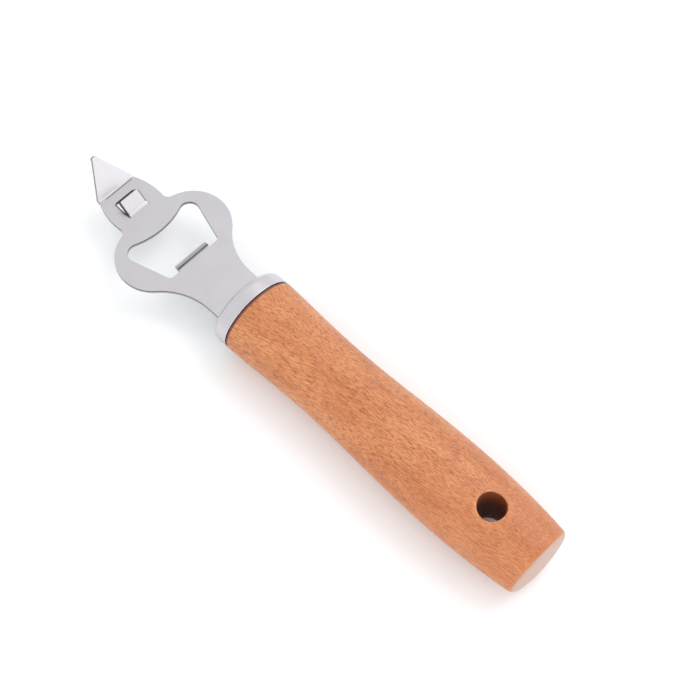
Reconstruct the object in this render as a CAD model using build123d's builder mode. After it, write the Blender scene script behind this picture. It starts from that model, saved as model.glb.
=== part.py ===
from build123d import *
from math import cos, radians, sin, sqrt
import os

# Can piercer and crown-cap opener with a ferruled beech handle, in millimetres.
# X runs along the tool towards the piercing point, Z is up and Y is to the left.
# The origin is at the centre of the tool's outline, on the surface the handle lies on.
# The stamped head is one sheet: its piercing point, can-rim hook and cap lip all bend upwards.

# Overall
overall_length = 201.0
handle_length = 122.0  # ferrule joint to the top of the butt's dome
seam_half_width = 14.4  # handle and ferrule where they meet
seam_half_height = 11.9
underside_flat = 0.15  # depth sanded off wood and ferrule together where the tool lies
axis_height = seam_half_height - underside_flat
butt_x = -overall_length / 2
seam_x = butt_x + handle_length

# Handle: elliptical sections as (fraction of the length from the joint, half width, half height)
handle_sections = [
    (0.00, seam_half_width, seam_half_height),
    (0.12, 13.8, 11.5),
    (0.30, 13.2, 11.2),
    (0.45, 13.8, 11.5),
    (0.60, 14.6, 11.9),
    (0.75, 14.7, 11.5),
    (0.87, 14.0, 10.7),
    (1.00, 12.2, 9.0),
]
butt_dome_radius = 70.0
butt_rounding = 2.0
joint_rounding = 0.35
hole_from_joint = 100.7
hole_radius = 4.6
hole_rim_rounding = 0.5
spigot_length = 5.0
spigot_inset = 0.7  # joint surface to spigot surface
spigot_rounding = 1.5
tang_bore_half_width = 5.4
tang_bore_half_height = 1.6
tang_bore_depth = 47.0  # from the spigot's front face

# Ferrule: a drawn cap over the spigot
ferrule_length = 6.5
ferrule_gap = 0.35  # open joint between the cap's rim and the wood's shoulder
ferrule_wall = 0.6
ferrule_shoulder = 2.6  # rounding of the front edge
ferrule_rim_rounding = 0.15
slot_clearance = 0.15  # around the sheet in the ferrule's front face

# Head: stamped stainless sheet; distances along X are measured from the joint
sheet = 1.5
neck_half_width = 9.6
neck_end = 13.0  # the straight neck turns into the flare here
ring_center = (40.0, 8.35)  # centre of the left cheek's outer arc
ring_radius = 13.4
head_half_width = 9.5  # piercing head beside its notch
notch_radius = 2.5
head_mid = (63.0, 9.2)  # on the slightly rounded side of the piercing head
bend_start = 68.2
bend_half_width = 7.5
tang_half_width = 5.0
tang_length = 44.0
tang_point = 6.0  # length of the tang's tapered end

# Window of the bottle opener
window_back = 29.7
window_back_half = 10.7
window_front_mid = 46.0
window_front_corner = (52.3, 17.4)  # before rounding
window_back_rounding = 1.4
window_front_rounding = 3.5

# Cap lip, can-rim hook and piercing point: each is a bend and a straight flange
lip_start = 30.3
lip_half_width = 6.7
lip_bend_radius = 0.3  # inside radius, on the upper side of the sheet
lip_angle = 72.0
lip_flange = 0.4
lip_corner = 0.25
hook_start = 56.4
hook_half_width = 4.0
hook_bend_radius = 2.5
hook_angle = 42.0
hook_flange = 4.6
hook_corner = 0.7
hook_hole_half_width = 4.15
hook_hole_end = 64.4
hook_hole_rounding = 0.8
piercer_bend_radius = 1.0
piercer_angle = 46.0
piercer_tip_half_width = 1.25

sheet_top = axis_height + sheet / 2


def cross_plane(x):
    """Plane across the tool at x, on the tool's axis; its local x is +Y and its local y is +Z."""
    return Plane(origin=(x, 0, axis_height), x_dir=(0, 1, 0), z_dir=(1, 0, 0))


def bend_axis(x, inner_radius):
    """Axis that the sheet turns up around when its bend starts at x."""
    return Axis((x, 0, sheet_top + inner_radius), (0, -1, 0))


def flange_plane(x, inner_radius, angle):
    """Plane on the sheet's upper face where a bend ends; its local x runs along the flange."""
    turn = radians(angle)
    origin = (x + inner_radius * sin(turn), 0, sheet_top + inner_radius * (1 - cos(turn)))
    return Plane(origin=origin, x_dir=(cos(turn), 0, sin(turn)), z_dir=(-sin(turn), 0, cos(turn)))


# The flare leaves the neck as a hollow arc that meets the cheek's arc smoothly
cheek_x = seam_x + ring_center[0]
cheek_y = ring_center[1]
flare_x = seam_x + neck_end
rise = neck_half_width - cheek_y
run = cheek_x - flare_x
flare_radius = (run**2 + rise**2 - ring_radius**2) / (2 * (ring_radius - rise))
flare_y = neck_half_width + flare_radius
share = flare_radius / (flare_radius + ring_radius)
flare_end = (flare_x + share * run, flare_y + share * (cheek_y - flare_y))
flare_tilt = radians(30)
flare_mid = (flare_x + flare_radius * sin(flare_tilt), flare_y - flare_radius * cos(flare_tilt))

# The notch is a small hollow arc between the cheek and the piercing head
notch_y = head_half_width + notch_radius
notch_x = cheek_x + sqrt((ring_radius + notch_radius) ** 2 - (notch_y - cheek_y) ** 2)
share = ring_radius / (ring_radius + notch_radius)
notch_start = (cheek_x + share * (notch_x - cheek_x), cheek_y + share * (notch_y - cheek_y))
notch_end = (notch_x, head_half_width)
notch_mid = (notch_x - notch_radius * sin(radians(40)), notch_y - notch_radius * cos(radians(40)))

spigot_end = seam_x + spigot_length
tang_end = spigot_end - tang_length
piercer_x = seam_x + bend_start
piercer_run = overall_length / 2 - flange_plane(piercer_x, piercer_bend_radius, piercer_angle).origin.X
piercer_length = (piercer_run - sheet * sin(radians(piercer_angle))) / cos(radians(piercer_angle))

with BuildPart() as opener_blade:
    # Flat sheet: half outline from the tang's end to the piercer's bend, then mirrored
    with BuildSketch(Plane.XY.offset(axis_height - sheet / 2)):
        with BuildLine():
            Polyline(
                (tang_end, 0),
                (tang_end, tang_half_width / 3),
                (tang_end + tang_point, tang_half_width),
                (spigot_end, tang_half_width),
                (spigot_end, neck_half_width),
                (flare_x, neck_half_width),
            )
            ThreePointArc((flare_x, neck_half_width), flare_mid, flare_end)
            ThreePointArc(flare_end, (cheek_x, cheek_y + ring_radius), notch_start)
            ThreePointArc(notch_start, notch_mid, notch_end)
            ThreePointArc(
                notch_end,
                (seam_x + head_mid[0], head_mid[1]),
                (piercer_x, bend_half_width),
            )
            Polyline((piercer_x, bend_half_width), (piercer_x, 0), (tang_end, 0))
        make_face()
        mirror(about=Plane.XZ)
    extrude(amount=sheet)

    # Window, with a front edge that bulges in to bear on the cap
    with BuildSketch(Plane.XY.offset(axis_height)) as window:
        with BuildLine():
            front_x = seam_x + window_front_corner[0]
            front_y = window_front_corner[1]
            back_x = seam_x + window_back
            Polyline(
                (front_x, front_y),
                (back_x, window_back_half),
                (back_x, -window_back_half),
                (front_x, -front_y),
            )
            ThreePointArc((front_x, -front_y), (seam_x + window_front_mid, 0), (front_x, front_y))
        make_face()
        fillet(window.vertices().sort_by(Axis.X)[-2:], window_front_rounding)
        fillet(window.vertices().sort_by(Axis.X)[:2], window_back_rounding)
    extrude(amount=sheet, both=True, mode=Mode.SUBTRACT)

    # Opening left by the hook
    with BuildSketch(Plane.XY.offset(axis_height)):
        hole_length = hook_hole_end - hook_start
        with Locations((seam_x + hook_start + hole_length / 2, 0)):
            hook_hole = Rectangle(hole_length, 2 * hook_hole_half_width)
        fillet(hook_hole.vertices().sort_by(Axis.X)[2:], hook_hole_rounding)
    extrude(amount=sheet, both=True, mode=Mode.SUBTRACT)

    # Cap lip: a tongue of the back edge, turned up
    with BuildSketch(Plane.XY.offset(axis_height - sheet / 2)):
        with Locations((seam_x + (window_back + lip_start) / 2, 0)):
            Rectangle(lip_start - window_back, 2 * lip_half_width)
    extrude(amount=sheet)
    with BuildSketch(cross_plane(seam_x + lip_start)):
        Rectangle(2 * lip_half_width, sheet)
    revolve(axis=bend_axis(seam_x + lip_start, lip_bend_radius), revolution_arc=lip_angle)
    with BuildSketch(flange_plane(seam_x + lip_start, lip_bend_radius, lip_angle)):
        with Locations((lip_flange / 2, 0)):
            lip_face = Rectangle(lip_flange, 2 * lip_half_width)
        fillet(lip_face.vertices().sort_by(Axis.Z)[2:], lip_corner)
    extrude(amount=-sheet)

    # Can-rim hook: a tongue lanced out of the piercing head
    with BuildSketch(cross_plane(seam_x + hook_start)):
        Rectangle(2 * hook_half_width, sheet)
    revolve(axis=bend_axis(seam_x + hook_start, hook_bend_radius), revolution_arc=hook_angle)
    with BuildSketch(flange_plane(seam_x + hook_start, hook_bend_radius, hook_angle)):
        with Locations((hook_flange / 2, 0)):
            hook_face = Rectangle(hook_flange, 2 * hook_half_width)
        fillet(hook_face.vertices().sort_by(Axis.X)[2:], hook_corner)
    extrude(amount=-sheet)

    # Piercing point: straight sides that end in a blunt round nose
    with BuildSketch(cross_plane(piercer_x)):
        Rectangle(2 * bend_half_width, sheet)
    revolve(axis=bend_axis(piercer_x, piercer_bend_radius), revolution_arc=piercer_angle)
    with BuildSketch(flange_plane(piercer_x, piercer_bend_radius, piercer_angle)):
        nose_x = piercer_length - piercer_tip_half_width
        with BuildLine():
            Polyline(
                (nose_x, -piercer_tip_half_width),
                (0, -bend_half_width),
                (0, bend_half_width),
                (nose_x, piercer_tip_half_width),
            )
            ThreePointArc(
                (nose_x, piercer_tip_half_width),
                (piercer_length, 0),
                (nose_x, -piercer_tip_half_width),
            )
        make_face()
    extrude(amount=-sheet)
opener_blade.part.label = "opener_blade"

with BuildPart() as ferrule:
    with BuildSketch(cross_plane(seam_x + ferrule_gap)):
        Ellipse(seam_half_width, seam_half_height)
    extrude(amount=ferrule_length - ferrule_gap)
    fillet(ferrule.edges().group_by(Axis.X)[-1], ferrule_shoulder)
    offset(amount=-ferrule_wall, openings=ferrule.faces().sort_by(Axis.X)[0])
    with BuildSketch(cross_plane(seam_x + ferrule_length)):
        Rectangle(2 * (neck_half_width + slot_clearance), sheet + 2 * slot_clearance)
    extrude(amount=-ferrule_length / 2, mode=Mode.SUBTRACT)
    rim = ferrule.faces().sort_by(Axis.X)[0]
    fillet(rim.outer_wire().edges(), ferrule_rim_rounding)
    split(bisect_by=Plane.XY, keep=Keep.TOP)
ferrule.part.label = "ferrule"

with BuildPart() as handle:
    for share, half_width, half_height in handle_sections:
        with BuildSketch(cross_plane(seam_x - share * handle_length)):
            Ellipse(half_width, half_height)
    loft()
    with Locations((butt_x + butt_dome_radius, 0, axis_height)):
        Sphere(butt_dome_radius, mode=Mode.INTERSECT)
    fillet(handle.faces().sort_by(Axis.X)[0].outer_wire().edges(), butt_rounding)
    fillet(handle.edges().group_by(Axis.X)[-1], joint_rounding)
    with BuildSketch(cross_plane(seam_x)):
        Ellipse(seam_half_width - spigot_inset, seam_half_height - spigot_inset)
    extrude(amount=spigot_length)
    fillet(handle.edges().group_by(Axis.X)[-1], spigot_rounding)
    with BuildSketch(cross_plane(spigot_end)):
        Rectangle(2 * tang_bore_half_width, 2 * tang_bore_half_height)
    extrude(amount=-tang_bore_depth, mode=Mode.SUBTRACT)
    with Locations((seam_x - hole_from_joint, 0, 2 * axis_height)):
        Hole(hole_radius)
    rims = handle.faces().filter_by(GeomType.CYLINDER).edges().filter_by(GeomType.LINE, reverse=True)
    fillet(rims, hole_rim_rounding)
    split(bisect_by=Plane.XY, keep=Keep.TOP)
handle.part.label = "handle"

# Adhesive that fills the bore around the tang
with BuildPart() as tang_adhesive:
    with BuildSketch(cross_plane(spigot_end)):
        Rectangle(2 * tang_bore_half_width, 2 * tang_bore_half_height)
    extrude(amount=-tang_bore_depth)
    add(opener_blade.part, mode=Mode.SUBTRACT)
tang_adhesive.part.label = "tang_adhesive"

os.makedirs("parts", exist_ok=True)
export_step(opener_blade.part, "parts/opener_blade.step")
export_step(ferrule.part, "parts/ferrule.step")
export_step(handle.part, "parts/handle.step")
export_step(tang_adhesive.part, "parts/tang_adhesive.step")
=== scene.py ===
from math import atan2, cos, radians, sin, sqrt

import bmesh
import bpy
from mathutils import Matrix, Vector
from mathutils.geometry import intersect_line_sphere_2d


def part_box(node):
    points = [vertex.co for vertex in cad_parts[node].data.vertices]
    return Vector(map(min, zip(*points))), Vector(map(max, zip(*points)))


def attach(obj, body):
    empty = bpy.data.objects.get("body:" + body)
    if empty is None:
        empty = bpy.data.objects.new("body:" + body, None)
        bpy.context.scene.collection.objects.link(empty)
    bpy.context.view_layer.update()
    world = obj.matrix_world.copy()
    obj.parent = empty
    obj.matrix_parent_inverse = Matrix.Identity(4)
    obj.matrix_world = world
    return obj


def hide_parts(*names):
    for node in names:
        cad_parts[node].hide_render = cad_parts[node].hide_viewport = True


# Can piercer and cap opener: a stamped steel blade, a drawn ferrule and a turned beech handle.
# Shapes are drawn in millimetres from the ferrule joint and then placed in the frame, in metres.

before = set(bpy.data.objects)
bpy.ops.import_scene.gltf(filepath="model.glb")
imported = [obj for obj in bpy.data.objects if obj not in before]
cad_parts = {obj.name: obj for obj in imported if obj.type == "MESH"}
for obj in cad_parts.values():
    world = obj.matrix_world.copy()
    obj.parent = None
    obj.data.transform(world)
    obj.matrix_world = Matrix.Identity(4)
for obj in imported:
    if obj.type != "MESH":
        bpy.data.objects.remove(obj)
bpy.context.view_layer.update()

MM = 0.001

# ---------------------------------------------------------------- places, from the frame
FERRULE_GAP = 0.35  # between the wood's shoulder and the ferrule's rim
SHEET = 1.5  # thickness of the blade

blade_low, blade_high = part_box("opener_blade")
SEAM_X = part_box("ferrule")[0][0] - FERRULE_GAP * MM
SEAM = Vector((SEAM_X, 0, blade_low[2] + SHEET / 2 * MM))  # middle of the joint
REACH = (blade_high[0] - SEAM_X) / MM  # joint to the piercing point
BUTT = (SEAM_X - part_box("handle")[0][0]) / MM  # joint to the top of the butt's dome
BUTT_DOME = 70.0
HOLE_FROM_JOINT = 100.7
HOLE_RADIUS = 4.6


def bend_length(radius, angle):
    """Flat length that a bend of this inside radius takes up, measured mid-sheet."""
    return (radius + SHEET / 2) * angle


# The blade, in millimetres; distances along X are from the joint
SPIGOT_END = 5.0
TANG_HALF = 5.0
TANG_END = -39.0
TANG_POINT = 6.0
NECK_HALF = 9.6
NECK_END = 13.0
CHEEK_CENTER = Vector((40.0, 8.35))
CHEEK_RADIUS = 13.4
NOTCH_RADIUS = 2.5
HEAD_HALF = 9.5
HEAD_MID = (63.0, 9.2)
WINDOW_BACK = (29.7, 10.7)
WINDOW_CORNER = (52.3, 17.4)
WINDOW_FRONT = 46.0
WINDOW_BACK_ROUNDING = 1.4
WINDOW_FRONT_ROUNDING = 3.5
LIP_START = 30.3
LIP_HALF = 6.7
LIP_RADIUS = 0.3
LIP_ANGLE = radians(72)
LIP_FLANGE = 0.4
LIP_CORNER = 0.25
HOOK_START = 56.4
HOOK_HALF = 4.0
HOOK_RADIUS = 2.5
HOOK_ANGLE = radians(42)
HOOK_FLANGE = 4.6
HOOK_CORNER = 0.7
HOOK_HOLE_HALF = 4.15
HOOK_HOLE_END = 64.4
HOOK_HOLE_ROUNDING = 0.8
HOOK_HOLE_MIDDLE = (HOOK_START + HOOK_HOLE_END) / 2
PIERCER_START = 68.2
PIERCER_HALF = 7.5
PIERCER_RADIUS = 1.0
PIERCER_ANGLE = radians(46)
PIERCER_TIP = 1.25
RIM_ROUNDING = 0.16

HOOK_END = HOOK_START + bend_length(HOOK_RADIUS, HOOK_ANGLE) + HOOK_FLANGE
LIP_END = LIP_START + bend_length(LIP_RADIUS, LIP_ANGLE) + LIP_FLANGE
DEPTH = "depth"  # attribute: 0 on the sheet's upper face, 1 on its lower face


# ---------------------------------------------------------------- camera and light
def aim(obj, place, target):
    """Put an object at place, looking at target with its top up."""
    back = (Vector(place) - Vector(target)).normalized()
    right = Vector((0, 0, 1)).cross(back).normalized()
    turn = Matrix((right, back.cross(right), back)).transposed()
    obj.matrix_world = Matrix.Translation(place) @ turn.to_4x4()


def add_camera():
    """Camera above the butt's left side, looking at the handle near the joint."""
    azimuth = radians(224.33)
    elevation = radians(62.78)
    distance = 511.75 * MM
    target = SEAM + Vector((-30.13, -11.79, 0)) * MM
    level = cos(elevation)
    back = Vector((sin(azimuth) * level, -cos(azimuth) * level, sin(elevation)))
    camera = bpy.data.objects.new("camera", bpy.data.cameras.new("camera"))
    bpy.context.scene.collection.objects.link(camera)
    camera.data.lens = 82.3
    camera.data.clip_start = 0.01
    aim(camera, target + back * distance, target)
    bpy.context.scene.camera = camera


def add_softbox(name, place, size, power):
    """Round softbox at place in metres, turned to the joint."""
    lamp = bpy.data.lights.new(name, "AREA")
    lamp.shape = "DISK"
    lamp.size = size
    lamp.energy = power
    softbox = bpy.data.objects.new(name, lamp)
    bpy.context.scene.collection.objects.link(softbox)
    aim(softbox, Vector(place), SEAM)


def add_studio(brightness):
    """White walls and ceiling all round, evenly lit."""
    studio = bpy.data.worlds.new("studio")
    studio.use_nodes = True
    walls = studio.node_tree.nodes["Background"]
    walls.inputs["Color"].default_value = (1, 1, 1, 1)
    walls.inputs["Strength"].default_value = brightness
    bpy.context.scene.world = studio


add_camera()
add_studio(1.02)
add_softbox("window_softbox", (-0.15, -0.85, 1.0), 1.0, 5.0)
add_softbox("fill_softbox", (-0.80, 1.10, 0.75), 1.5, 7.0)
add_softbox("butt_softbox", (-1.1, -0.4, 0.36), 0.9, 2.1)
bpy.context.scene.view_settings.view_transform = "Standard"


# ---------------------------------------------------------------- materials
class Value:
    """A socket in a material. Arithmetic on it adds Math nodes."""

    def __init__(self, finish, socket):
        self.finish = finish
        self.socket = socket

    def math(self, operation, *values):
        sockets = dict(enumerate(values))
        return self.finish.node("ShaderNodeMath", {"operation": operation}, sockets)

    def __add__(self, other):
        return self.math("ADD", self, other)

    __radd__ = __add__

    def __sub__(self, other):
        return self.math("SUBTRACT", self, other)

    def __rsub__(self, other):
        return self.math("SUBTRACT", other, self)

    def __mul__(self, other):
        return self.math("MULTIPLY", self, other)

    __rmul__ = __mul__

    def __abs__(self):
        return self.math("ABSOLUTE", self)


class Finish:
    """A material whose nodes are added by calls; Object coordinates are in millimetres here."""

    def __init__(self, name):
        self.material = bpy.data.materials.new(name)
        self.material.use_nodes = True
        self.tree = self.material.node_tree
        self.surface = self.tree.nodes["Principled BSDF"]
        place = self.node("ShaderNodeTexCoord", {}, {}, "Object")
        settings = {"vector_type": "POINT"}
        shift = tuple(-distance / MM for distance in SEAM)
        sockets = {"Vector": place, "Location": shift, "Scale": (1 / MM,) * 3}
        self.place = self.node("ShaderNodeMapping", settings, sockets)

    def node(self, kind, settings, sockets, output=0):
        """Add a node, apply its settings, then fill its sockets with numbers or links."""
        made = self.tree.nodes.new(kind)
        for key, setting in settings.items():
            if key == "stops":
                self.set_stops(made.color_ramp, setting)
            else:
                setattr(made, key, setting)
        for key, value in sockets.items():
            self.fill(made.inputs[key], value)
        return Value(self, made.outputs[output])

    def fill(self, socket, value):
        if isinstance(value, Value):
            self.tree.links.new(value.socket, socket)
        else:
            socket.default_value = value

    @staticmethod
    def set_stops(ramp, stops):
        for spot, _ in stops[len(ramp.elements) :]:
            ramp.elements.new(spot)
        for element, (spot, color) in zip(ramp.elements, stops):
            element.position = spot
            element.color = color

    def axes(self):
        """Millimetres along the tool, across it and up, from the middle of the joint."""
        return [self.node("ShaderNodeSeparateXYZ", {}, {0: self.place}, axis) for axis in range(3)]

    def stretched(self, pitch, turn=(0, 0, 0)):
        """Coordinates in which a pattern of size 1 is pitch millimetres along each axis."""
        turned = self.node("ShaderNodeMapping", {}, {"Vector": self.place, "Rotation": turn})
        scale = tuple(1 / size for size in pitch)
        return self.node("ShaderNodeVectorMath", {"operation": "MULTIPLY"}, {0: turned, 1: scale})

    def noise(self, pitch, detail=2.0, rough=0.5, turn=(0, 0, 0), warp=0.0):
        """Cloudy pattern with blobs of the given size in millimetres, around 0.5."""
        sockets = {"Vector": self.stretched(pitch, turn), "Scale": 1.0, "Detail": detail}
        sockets.update({"Roughness": rough, "Distortion": warp})
        return self.node("ShaderNodeTexNoise", {}, sockets)

    def between(self, value, low, high):
        """0 below low, 1 above high, and smooth in between; high may be the lower one."""
        settings = {"interpolation_type": "SMOOTHSTEP", "clamp": True}
        sockets = {"Value": value, "From Min": low, "From Max": high}
        return self.node("ShaderNodeMapRange", settings, sockets)

    def distance(self, first, second, third=0.0):
        """Distance from where the given millimetre values are all 0."""
        place = self.node("ShaderNodeCombineXYZ", {}, {0: first, 1: second, 2: third})
        return self.node("ShaderNodeVectorMath", {"operation": "LENGTH"}, {0: place}, 1)

    def blend(self, share, first, second):
        """Colour between two colours."""
        settings = {"data_type": "RGBA", "clamp_factor": True}
        return self.node("ShaderNodeMix", settings, {0: share, 6: first, 7: second}, 2)

    def set(self, **values):
        """Set the surface's sockets; base_color stands for Base Color."""
        for key, value in values.items():
            self.fill(self.surface.inputs[key.replace("_", " ").title()], value)

    def relief(self, height, depth):
        """Bump the surface by height times depth, in millimetres."""
        sockets = {"Height": height, "Distance": depth * MM, "Strength": 1.0}
        self.set(normal=self.node("ShaderNodeBump", {}, sockets))


def tone(red, green, blue):
    """Opaque colour, in linear light."""
    return (red, green, blue, 1.0)


def painted_shade_lines(steel, along, across, up):
    """1 where shade is painted dark on the sheet: in bend lines, round the hook's opening and
    along the sides of the raised tab.
    """
    # Painted shade in the piercing point's bend line, which fades out before the left edge
    piercer_crease_shade = steel.between(abs(along - PIERCER_START + 0.32), 0.24, 0.12)
    piercer_crease_shade = piercer_crease_shade * steel.between(abs(across + 0.75), 6.2, 5.4)
    # Painted shade in the bend line at the cap lip's root
    lip_root_shade = steel.between(abs(along - LIP_START - 0.2), 0.34, 0.2)
    lip_root_shade = lip_root_shade * steel.between(abs(across), LIP_HALF + 0.2, LIP_HALF - 0.1)
    # Painted shade along the left edge of the hook's opening
    slit_rim_shade = steel.between(abs(across - HOOK_HOLE_HALF - 0.15), 0.42, 0.25)
    slit_rim_shade = slit_rim_shade * steel.between(abs(along - HOOK_HOLE_MIDDLE), 4.1, 3.4)
    # Painted shade along the sides of the raised hook tab
    raised = steel.between(up, 0.85, 1.1) * steel.between(along, HOOK_END, HOOK_END - 0.3)
    tab_side_shade = steel.between(abs(across), HOOK_HALF - 0.5, HOOK_HALF - 0.25) * raised
    return piercer_crease_shade + lip_root_shade + slit_rim_shade + tab_side_shade


def satin_sheet():
    """Tumbled stainless sheet: fine matt grain, faint scratches and cloudy patches, with painted
    shade in bend lines, round the hook's opening and on the point's nose.
    """
    steel = Finish("satin_sheet")
    along, across, up = steel.axes()
    clouds = steel.noise((9, 9, 9), detail=3)
    grain = steel.noise((0.22, 0.22, 0.22), detail=2, rough=0.6)
    scratch_a = steel.between(steel.noise((7, 0.12, 7), turn=(0, 0, radians(24))), 0.66, 0.74)
    scratch_b = steel.between(steel.noise((5, 0.1, 5), turn=(0, 0, radians(-51))), 0.67, 0.75)
    scratches = scratch_a + scratch_b
    painted_shade = painted_shade_lines(steel, along, across, up)
    # Painted shade: the point's nose is darker
    nose = steel.between(along, REACH - 1.5, REACH - 1.0)
    shade = clouds * 0.5 + grain * 0.5
    color = steel.blend(shade, tone(0.50, 0.485, 0.515), tone(0.63, 0.615, 0.645))
    color = steel.blend(nose * 0.8, color, tone(0.27, 0.265, 0.27))
    steel.set(
        base_color=steel.blend(painted_shade * 0.8, color, tone(0.10, 0.095, 0.10)),
        metallic=1.0,
        roughness=0.30 + clouds * 0.08 + grain * 0.1 + scratches * 0.06,
    )
    steel.relief(grain - scratches * 0.5 - painted_shade * 2.0, 0.012)
    return steel.material


def sheared_edge():
    """The sheet's cut edge: a dark sheared band in the upper half, paler torn metal below."""
    steel = Finish("sheared_edge")
    along, across, _ = steel.axes()
    depth = steel.node("ShaderNodeAttribute", {"attribute_name": DEPTH}, {}, 2)
    tears = steel.noise((0.15, 0.15, 1.4), detail=3)
    clouds = steel.noise((3, 3, 3))
    shade = tears * 0.6 + clouds * 0.4
    color = steel.blend(shade, tone(0.38, 0.37, 0.38), tone(0.62, 0.605, 0.62))
    sheared = steel.between(depth, 0.04, 0.14) * steel.between(depth, 0.62, 0.45)
    lip = steel.between(abs(along - LIP_START - 1), 2.2, 2.0)
    lip = lip * steel.between(abs(across), LIP_HALF + 0.3, LIP_HALF + 0.1)
    color = steel.blend(sheared * (0.85 - lip * 0.6), color, tone(0.09, 0.085, 0.09))
    # Painted shade on the cut sides of the hook's opening
    slit_wall_shade = steel.between(abs(along - HOOK_HOLE_MIDDLE), 4.6, 4.2)
    slit_wall_shade = slit_wall_shade * steel.between(abs(across), HOOK_HOLE_HALF + 0.4, HOOK_HOLE_HALF + 0.2)
    color = steel.blend(slit_wall_shade * 0.9, color, tone(0.035, 0.026, 0.018))
    steel.set(
        base_color=color,
        metallic=1.0,
        roughness=0.36 + tears * 0.22,
    )
    steel.relief(tears, 0.02)
    return steel.material


def drawn_ferrule():
    """Drawn stainless cap: fine lines round it from polishing, a little cloudy."""
    steel = Finish("drawn_ferrule")
    lines = steel.noise((0.09, 6, 6), detail=2)
    clouds = steel.noise((6, 6, 6), detail=3)
    shade = lines * 0.55 + clouds * 0.45
    steel.set(
        base_color=steel.blend(shade, tone(0.52, 0.50, 0.53), tone(0.68, 0.66, 0.69)),
        metallic=1.0,
        roughness=0.26 + lines * 0.10 + clouds * 0.06,
    )
    steel.relief(lines, 0.006)
    return steel.material


def beech_grain(wood, along):
    """Colour of the turned sides, with the patterns of fibres, long flecks and fine flecks, and
    painted shade towards the butt.
    """
    lean = radians(-9)  # the grain runs slightly across the handle
    bands = wood.noise((60, 5, 5), detail=2, turn=(0, 0, lean), warp=0.3)
    patches = wood.noise((12, 7, 7), detail=3)
    fibre = wood.noise((5, 0.2, 0.2), detail=3, rough=0.6, turn=(0, 0, lean))
    streaks = wood.noise((3.4, 0.4, 0.4), detail=1, turn=(0, 0, lean))
    ticks = wood.noise((2.6, 0.22, 0.22), detail=0, turn=(radians(31), 0, lean))
    specks = wood.noise((1.9, 0.16, 0.16), detail=0, turn=(radians(-20), 0, lean))
    flecks = wood.between(ticks, 0.57, 0.67)
    fine_flecks = wood.between(specks, 0.56, 0.68)
    shadows = wood.between(streaks, 0.54, 0.72)
    pale = wood.between(streaks, 0.46, 0.30)
    butt_end_shade = wood.between(along, -60, -115)  # painted shade: a little darker towards the butt
    dark = tone(0.450, 0.130, 0.034)
    middle = tone(0.572, 0.206, 0.068)
    light = tone(0.665, 0.282, 0.112)
    deep = tone(0.24, 0.060, 0.014)
    stops = [(0.34, dark), (0.50, middle), (0.68, light)]
    tint = bands * 0.4 + patches * 0.4 + fibre * 0.2
    color = wood.node("ShaderNodeValToRGB", {"stops": stops}, {0: tint})
    color = wood.blend(pale * 0.45, color, light)
    color = wood.blend(shadows * 0.35, color, dark)
    color = wood.blend(fine_flecks * 0.50, color, deep)
    color = wood.blend(flecks * 0.74, color, deep)
    color = wood.blend(butt_end_shade * 0.35, color, dark)
    return color, fibre, flecks, fine_flecks


def end_grain(wood):
    """Paler colour of the domed butt, with rings and pores."""
    rings = wood.noise((20, 9, 0.8), detail=2, turn=(radians(14), 0, 0), warp=0.3)
    pores = wood.noise((2.0, 0.18, 0.18), detail=2)
    tint = rings * 0.6 + pores * 0.4
    return wood.blend(tint, tone(0.38, 0.235, 0.185), tone(0.54, 0.385, 0.32))


def oiled_beech():
    """Steamed beech: dark flecks along the grain, paler end grain, and painted shade in the bore
    and at the joint.
    """
    wood = Finish("oiled_beech")
    along, across, up = wood.axes()
    color, fibre, flecks, fine_flecks = beech_grain(wood, along)
    dome = wood.distance(along + (BUTT - BUTT_DOME), across, up)
    end = wood.between(dome, BUTT_DOME - 0.75, BUTT_DOME - 0.25)
    from_hole = wood.distance(along + HOLE_FROM_JOINT, across)
    # Painted shade inside the bore
    bore = wood.between(from_hole, HOLE_RADIUS + 0.25, HOLE_RADIUS + 0.02)
    torn = wood.between(abs(from_hole - HOLE_RADIUS - 0.45), 0.30, 0.08)
    torn = torn * wood.between(wood.noise((1.6, 1.6, 3), detail=2), 0.50, 0.66)
    # Painted shade in the gap at the joint
    joint = wood.between(along, -0.95, -0.55)
    color = wood.blend(end, color, end_grain(wood))
    color = wood.blend(torn * 0.45, color, tone(0.74, 0.44, 0.27))
    color = wood.blend(bore * 0.85, color, tone(0.20, 0.045, 0.014))
    color = wood.blend(joint * 0.88, color, tone(0.10, 0.018, 0.012))
    wood.set(
        base_color=color,
        roughness=0.46 + fibre * 0.10 + flecks * 0.1 + end * 0.12,
        coat_weight=0.35 - bore * 0.35,
        coat_roughness=0.35,
    )
    wood.relief(fibre * 0.5 - flecks * 0.6 - fine_flecks * 0.3 + torn * 0.8, 0.03)
    return wood.material


def cured_epoxy():
    """Amber glue around the tang."""
    glue = Finish("cured_epoxy")
    clouds = glue.noise((2.5, 2.5, 2.5), detail=3)
    glue.set(
        base_color=glue.blend(clouds, tone(0.45, 0.30, 0.12), tone(0.62, 0.46, 0.24)),
        roughness=0.30 + clouds * 0.2,
    )
    glue.relief(clouds, 0.05)
    return glue.material


def backdrop_paper():
    """White paper with a very faint tooth."""
    paper = Finish("backdrop_paper")
    tooth = paper.noise((1.5, 1.5, 1.5), detail=3)
    paper.set(
        base_color=paper.blend(tooth, tone(0.885, 0.90, 0.91), tone(0.915, 0.93, 0.94)),
        roughness=0.85,
    )
    return paper.material


# ---------------------------------------------------------------- drawing and bending sheet
ARC_PITCH = 0.6  # length of one straight facet on a drawn arc
BEND_STEPS = 10  # straight facets in each bend
WELD = 1e-4  # corners closer than this are one
TAB_MARGIN = 0.1  # how far beyond its own edge a tab is looked for
LEVEL = 0.9  # a face whose normal has more of Z than this lies level
UPRIGHT = 0.1  # and one with less of Z than this stands upright


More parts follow.
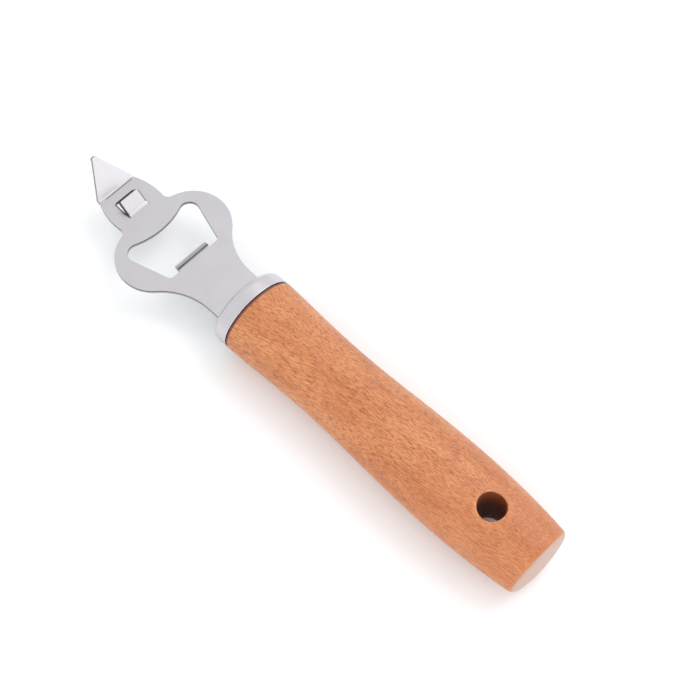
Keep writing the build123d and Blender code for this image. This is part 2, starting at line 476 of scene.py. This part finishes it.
def line_to(blank, pen, place):
    """Draw a straight edge from the vertex pen; return the vertex it ends on."""
    end = bmesh.ops.extrude_vert_indiv(blank, verts=[pen])["verts"][0]
    bmesh.ops.translate(blank, verts=[end], vec=Vector((*place, 0)) - pen.co)
    return end


def arc_to(blank, pen, center, place):
    """Draw an arc round center, the short way, from the vertex pen to place."""
    start = pen.co.xy - Vector(center)
    end = Vector(place) - Vector(center)
    turn = atan2(start.x * end.y - start.y * end.x, start.dot(end))
    steps = max(4, round(abs(turn) * start.length / ARC_PITCH))
    swept = bmesh.ops.spin(
        blank, geom=[pen], cent=(*center, 0), axis=(0, 0, 1), angle=turn, steps=steps
    )
    return [part for part in swept["geom_last"] if isinstance(part, bmesh.types.BMVert)][0]


def center_through(first, second, third):
    """Centre of the circle through three points."""
    a, b, c = Vector(first), Vector(second), Vector(third)
    b = b - a
    c = c - a
    area = 2 * (b.x * c.y - b.y * c.x)
    x = (c.y * b.length_squared - b.y * c.length_squared) / area
    y = (b.x * c.length_squared - c.x * b.length_squared) / area
    return a + Vector((x, y))


def cut_for_bend(blank, inside, start, radius, angle):
    """Cut the tab's faces across where it will bend, so that the bend comes out round."""
    for step in range(BEND_STEPS + 1):
        x = start + bend_length(radius, angle) * step / BEND_STEPS
        faces = [face for face in blank.faces if inside(face.calc_center_median())]
        edges = {edge for face in faces for edge in face.edges}
        corners = {corner for face in faces for corner in face.verts}
        bmesh.ops.bisect_plane(
            blank,
            geom=[*faces, *edges, *corners],
            dist=WELD,
            plane_co=(x, 0, 0),
            plane_no=(1, 0, 0),
        )


def bend_up(corners, start, radius, angle):
    """Bend the sheet's corners beyond start upwards; the sheet's top is at height 0."""
    for corner in corners:
        beyond = corner.co.x - start
        turn = min(beyond / (radius + SHEET / 2), angle)
        straight = max(beyond - bend_length(radius, angle), 0)
        depth = radius - corner.co.z
        corner.co.x = start + depth * sin(turn) + straight * cos(turn)
        corner.co.z = radius - depth * cos(turn) + straight * sin(turn)


# ---------------------------------------------------------------- blade
def piercer_length():
    """Straight length of the bent-up point, so that it reaches as far as the frame's blade."""
    run = REACH - PIERCER_START - (PIERCER_RADIUS + SHEET) * sin(PIERCER_ANGLE)
    return run / cos(PIERCER_ANGLE)


def draw_outer_edge(blank):
    """Half the blank's outline, from the tang's end to the piercing point."""
    rise = NECK_HALF - CHEEK_CENTER.y
    run = CHEEK_CENTER.x - NECK_END
    flare_radius = (run**2 + rise**2 - CHEEK_RADIUS**2) / (2 * (CHEEK_RADIUS - rise))
    flare_center = Vector((NECK_END, NECK_HALF + flare_radius))
    share = flare_radius / (flare_radius + CHEEK_RADIUS)
    flare_end = flare_center.lerp(CHEEK_CENTER, share)
    notch_y = HEAD_HALF + NOTCH_RADIUS
    reach = sqrt((CHEEK_RADIUS + NOTCH_RADIUS) ** 2 - (notch_y - CHEEK_CENTER.y) ** 2)
    notch_center = Vector((CHEEK_CENTER.x + reach, notch_y))
    share = CHEEK_RADIUS / (CHEEK_RADIUS + NOTCH_RADIUS)
    notch_start = CHEEK_CENTER.lerp(notch_center, share)
    notch_end = (notch_center.x, HEAD_HALF)
    head_end = (PIERCER_START, PIERCER_HALF)
    bend_end = PIERCER_START + bend_length(PIERCER_RADIUS, PIERCER_ANGLE)
    point_x = bend_end + piercer_length()

    pen = blank.verts.new((TANG_END, 0, 0))
    pen = line_to(blank, pen, (TANG_END, TANG_HALF / 3))
    pen = line_to(blank, pen, (TANG_END + TANG_POINT, TANG_HALF))
    pen = line_to(blank, pen, (SPIGOT_END, TANG_HALF))
    pen = line_to(blank, pen, (SPIGOT_END, NECK_HALF))
    pen = line_to(blank, pen, (NECK_END, NECK_HALF))
    pen = arc_to(blank, pen, flare_center, flare_end)
    pen = arc_to(blank, pen, CHEEK_CENTER, notch_start)
    pen = arc_to(blank, pen, notch_center, notch_end)
    pen = arc_to(blank, pen, center_through(notch_end, HEAD_MID, head_end), head_end)
    pen = line_to(blank, pen, (bend_end, PIERCER_HALF))
    pen = line_to(blank, pen, (point_x - PIERCER_TIP, PIERCER_TIP))
    arc_to(blank, pen, (point_x - PIERCER_TIP, 0), (point_x, 0))


def draw_window(blank):
    """Half the window's edge, from the middle of the cap lip round to the front."""
    back = Vector(WINDOW_BACK)
    side = (Vector(WINDOW_CORNER) - back).normalized()
    inward = Vector((side.y, -side.x))
    half_chord = WINDOW_CORNER[1]
    depth = WINDOW_CORNER[0] - WINDOW_FRONT
    front_radius = (half_chord**2 + depth**2) / (2 * depth)
    front_center = Vector((WINDOW_FRONT + front_radius, 0))
    inset = back + inward * WINDOW_FRONT_ROUNDING
    ahead = inset + side * 40  # gives the line that the corner's centre lies on
    crossings = intersect_line_sphere_2d(
        inset, ahead, front_center, front_radius + WINDOW_FRONT_ROUNDING, False
    )
    corner_center = min(crossings, key=lambda place: place.x)
    corner_start = corner_center - inward * WINDOW_FRONT_ROUNDING
    share = front_radius / (front_radius + WINDOW_FRONT_ROUNDING)
    corner_end = front_center.lerp(corner_center, share)
    drop = WINDOW_BACK_ROUNDING * (1 - side.y) / side.x
    back_center = Vector((back.x + WINDOW_BACK_ROUNDING, back.y - drop))
    back_end = back_center - inward * WINDOW_BACK_ROUNDING
    lip_corner_x = LIP_END - LIP_CORNER
    lip_corner_y = LIP_HALF - LIP_CORNER

    pen = blank.verts.new((LIP_END, 0, 0))
    pen = line_to(blank, pen, (LIP_END, lip_corner_y))
    pen = arc_to(blank, pen, (lip_corner_x, lip_corner_y), (lip_corner_x, LIP_HALF))
    pen = line_to(blank, pen, (LIP_START, LIP_HALF))
    pen = line_to(blank, pen, (back.x, LIP_HALF))
    pen = line_to(blank, pen, (back.x, back_center.y))
    pen = arc_to(blank, pen, back_center, back_end)
    pen = line_to(blank, pen, corner_start)
    pen = arc_to(blank, pen, corner_center, corner_end)
    arc_to(blank, pen, front_center, (WINDOW_FRONT, 0))


def draw_hook_slit(blank):
    """Half the slit that frees the hook's tab on three sides."""
    hook_corner_x = HOOK_END - HOOK_CORNER
    hook_corner_y = HOOK_HALF - HOOK_CORNER
    hole_corner = (HOOK_HOLE_END - HOOK_HOLE_ROUNDING, HOOK_HOLE_HALF - HOOK_HOLE_ROUNDING)
    pen = blank.verts.new((HOOK_END, 0, 0))
    pen = line_to(blank, pen, (HOOK_END, hook_corner_y))
    pen = arc_to(blank, pen, (hook_corner_x, hook_corner_y), (hook_corner_x, HOOK_HALF))
    pen = line_to(blank, pen, (HOOK_START, HOOK_HALF))
    pen = line_to(blank, pen, (HOOK_START, HOOK_HOLE_HALF))
    pen = line_to(blank, pen, (hole_corner[0], HOOK_HOLE_HALF))
    pen = arc_to(blank, pen, hole_corner, (HOOK_HOLE_END, hole_corner[1]))
    line_to(blank, pen, (HOOK_HOLE_END, 0))


def on_lip(place):
    """Whether a place on the blank is on the cap lip's tab."""
    return LIP_START < place.x < LIP_END + TAB_MARGIN and abs(place.y) < LIP_HALF + TAB_MARGIN


def on_hook(place):
    """Whether a place on the blank is on the hook's tab."""
    return HOOK_START < place.x < HOOK_END + TAB_MARGIN and abs(place.y) < HOOK_HALF + TAB_MARGIN


def on_piercer(place):
    """Whether a place on the blank is beyond the piercing point's bend."""
    return place.x > PIERCER_START


def rim_edges(blank):
    """Edges between the sheet's two faces and its cut sides."""
    rims = []
    for edge in blank.edges:
        tilts = sorted(abs(face.normal.z) for face in edge.link_faces)
        if tilts[0] < UPRIGHT and tilts[-1] > LEVEL:
            rims.append(edge)
    return rims


def make_blade():
    """The stamped sheet: a flat blank with its window and slit, given thickness and bent."""
    blank = bmesh.new()
    draw_outer_edge(blank)
    draw_window(blank)
    draw_hook_slit(blank)
    bmesh.ops.mirror(blank, geom=blank.verts[:] + blank.edges[:], axis="Y", merge_dist=WELD)
    bmesh.ops.triangle_fill(blank, use_beauty=True, edges=blank.edges[:], normal=(0, 0, 1))
    for root in (LIP_START, HOOK_START, PIERCER_START):
        geometry = blank.verts[:] + blank.edges[:] + blank.faces[:]
        bmesh.ops.bisect_plane(
            blank, geom=geometry, dist=WELD, plane_co=(root, 0, 0), plane_no=(1, 0, 0)
        )
    cut_for_bend(blank, on_lip, LIP_START, LIP_RADIUS, LIP_ANGLE)
    cut_for_bend(blank, on_hook, HOOK_START, HOOK_RADIUS, HOOK_ANGLE)
    cut_for_bend(blank, on_piercer, PIERCER_START, PIERCER_RADIUS, PIERCER_ANGLE)
    lower = bmesh.ops.extrude_face_region(blank, geom=blank.faces[:])["geom"]
    corners = [part for part in lower if isinstance(part, bmesh.types.BMVert)]
    bmesh.ops.translate(blank, verts=corners, vec=(0, 0, -SHEET))
    bmesh.ops.recalc_face_normals(blank, faces=blank.faces[:])
    for face in blank.faces:
        face.material_index = int(abs(face.normal.z) < UPRIGHT)
    bmesh.ops.bevel(
        blank,
        geom=rim_edges(blank),
        offset=RIM_ROUNDING,
        affect="EDGES",
        segments=2,
        profile=0.5,
        material=-1,
        loop_slide=False,
        clamp_overlap=True,
    )
    depth = blank.verts.layers.float.new(DEPTH)
    for corner in blank.verts:
        corner[depth] = -corner.co.z / SHEET
    bends = (
        (on_lip, LIP_START, LIP_RADIUS, LIP_ANGLE),
        (on_hook, HOOK_START, HOOK_RADIUS, HOOK_ANGLE),
        (on_piercer, PIERCER_START, PIERCER_RADIUS, PIERCER_ANGLE),
    )
    for inside, start, radius, angle in bends:
        bend_up([corner for corner in blank.verts if inside(corner.co)], start, radius, angle)
    return blank


def add_piece(name, shape, node, slot, *materials):
    """Place a shape drawn in millimetres, and hide the node of the frame whose place it takes."""
    place = Matrix.Translation(SEAM) @ Matrix.Scale(MM, 4)
    bmesh.ops.transform(shape, matrix=place, verts=shape.verts)
    for face in shape.faces:
        face.smooth = True
    mesh = bpy.data.meshes.new(name)
    shape.to_mesh(mesh)
    shape.free()
    for material in materials:
        mesh.materials.append(material)
    piece = bpy.data.objects.new(name, mesh)
    bpy.context.scene.collection.objects.link(piece)
    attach(piece, "root")
    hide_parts(node)
    return piece


def even_normals(piece):
    """Let the large flat faces keep a flat shine, with the roundings smooth between them."""
    modifier = piece.modifiers.new("even_normals", "WEIGHTED_NORMAL")
    modifier.weight = 90


def refinish(node, material):
    """Give a carried-over node of the frame its finish."""
    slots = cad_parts[node].data.materials
    slots.clear()
    slots.append(material)


blade_shape = make_blade()
bmesh.ops.translate(blade_shape, verts=blade_shape.verts, vec=(0, 0, SHEET / 2))
blade_finishes = (satin_sheet(), sheared_edge())
blade = add_piece("blade", blade_shape, "opener_blade", "stainless_sheet", *blade_finishes)
even_normals(blade)
refinish("ferrule", drawn_ferrule())
refinish("handle", oiled_beech())
refinish("tang_adhesive", cured_epoxy())


FLOOR_DROP = 0.05  # keeps the paper clear of the flat underside
FLOOR_REACH = 3.0  # metres from the middle to an edge


def add_floor(material):
    """Sheet of paper that the tool lies on."""
    paper = bmesh.new()
    bmesh.ops.create_grid(paper, x_segments=1, y_segments=1, size=FLOOR_REACH)
    bmesh.ops.translate(paper, verts=paper.verts, vec=(0, 0, -FLOOR_DROP * MM))
    mesh = bpy.data.meshes.new("floor")
    paper.to_mesh(mesh)
    paper.free()
    mesh.materials.append(material)
    floor = bpy.data.objects.new("floor", mesh)
    bpy.context.scene.collection.objects.link(floor)


add_floor(backdrop_paper())
